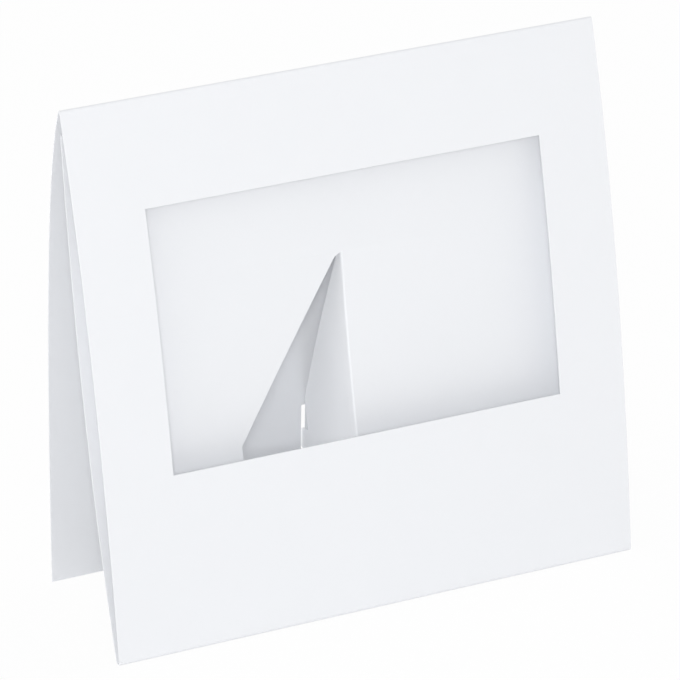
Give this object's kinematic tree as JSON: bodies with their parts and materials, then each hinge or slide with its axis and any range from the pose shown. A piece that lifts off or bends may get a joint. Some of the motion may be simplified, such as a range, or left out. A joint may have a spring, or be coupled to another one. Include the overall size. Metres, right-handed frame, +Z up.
{
  "type": "folded card photo frame",
  "caption": "Free-standing photo frame folded from one sheet of white card, with a landscape window and a cut-out strut.",
  "frame": {"origin": "centre of the card's footprint, on the surface that it stands on", "axes": "+X to the right as seen from the front, +Y to the back, +Z up"},
  "size_m": [0.188, 0.0638, 0.184],
  "materials": {
    "white_card": "matte"
  },
  "bodies": {
    "root": {"folded_card": "white_card"}
  },
  "joints": []
}
